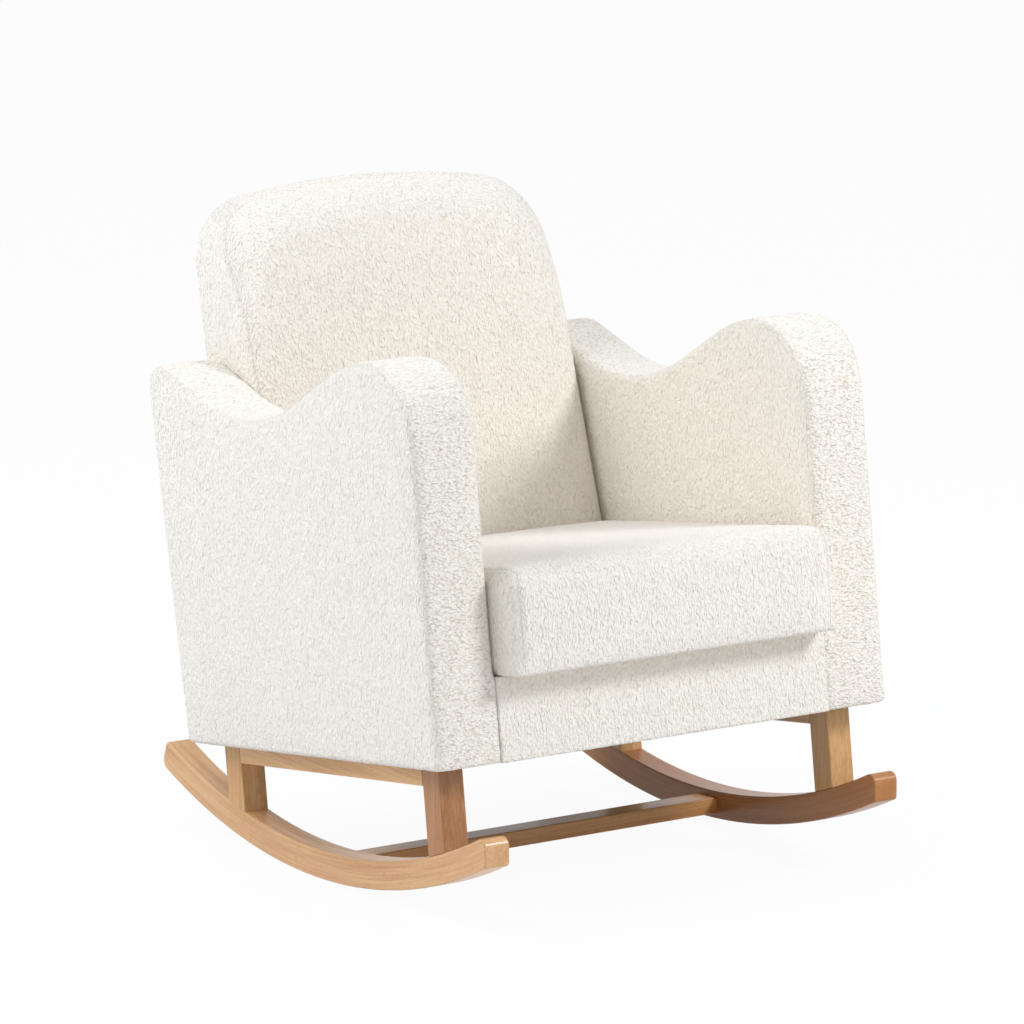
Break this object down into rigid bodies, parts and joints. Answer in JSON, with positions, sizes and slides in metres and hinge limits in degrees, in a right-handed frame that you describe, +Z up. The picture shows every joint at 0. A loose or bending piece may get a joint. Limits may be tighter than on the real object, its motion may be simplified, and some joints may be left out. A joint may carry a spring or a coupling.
{
  "type": "rocking chair",
  "caption": "Upholstered nursing rocking chair with wavy arms, a rounded back and a loose seat cushion in off-white bouclé, on a light beech base with curved rockers",
  "frame": {"origin": "On the floor, in the middle of the overall box seen from above. The rockers touch the floor 18 mm behind it.", "axes": "+Z is up. The chair faces -Y. +X is the right side as seen from in front of the chair, and the chair is the same on both sides."},
  "size_m": [0.708, 0.8306, 0.8532],
  "materials": {
    "beech": "satin clear coat",
    "frame_timber": "raw sawn",
    "plywood": "raw",
    "boucle": "looped pile",
    "foam": "open cell",
    "lining": "plain weave",
    "felt": "needled",
    "dust_cloth": "non-woven",
    "webbing": "elastic weave",
    "spring_steel": "drawn wire",
    "zinc": "zinc plated",
    "zip": "moulded"
  },
  "bodies": {
    "chair": {"apron_dowels": "frame_timber", "arm_battens_left": "frame_timber", "arm_battens_right": "frame_timber", "arm_bolt_nuts": "zinc", "arm_bolts": "zinc", "arm_inner_board_left": "plywood", "arm_inner_board_right": "plywood", "arm_outer_board_left": "plywood", "arm_outer_board_right": "plywood", "arm_pad_left": "boucle", "arm_pad_right": "boucle", "back_lower_rail": "frame_timber", "back_middle_rail": "frame_timber", "back_pad": "boucle", "back_post_left": "frame_timber", "back_post_right": "frame_timber", "back_post_screws": "zinc", "back_top_arch": "frame_timber", "back_webbing": "webbing", "base_bolts": "zinc", "base_tee_nuts": "zinc", "dust_cover": "dust_cloth", "front_leg_left": "beech", "front_leg_right": "beech", "front_panel_pad": "boucle", "leg_dowels": "frame_timber", "outside_back": "boucle", "rear_leg_left": "beech", "rear_leg_right": "beech", "rocker_left": "beech", "rocker_right": "beech", "rocker_stretcher": "beech", "seat_corner_blocks": "frame_timber", "seat_deck": "felt", "seat_front_rail": "frame_timber", "seat_rear_rail": "frame_timber", "seat_side_rail_left": "frame_timber", "seat_side_rail_right": "frame_timber", "seat_springs": "spring_steel", "side_apron_left": "beech", "side_apron_right": "beech", "spring_clips": "zinc", "stretcher_dowels": "frame_timber"},
    "seat_cushion": {"cushion_foam": "foam", "cushion_cover": "boucle", "cushion_bottom_panel": "lining", "cushion_zip": "zip"}
  },
  "joints": [
    {"name": "seat_cushion_lift", "type": "slide", "parent": "chair", "child": "seat_cushion", "axis": [0, 0.1392, 0.9903], "range_m": [0, 0.42]}
  ]
}
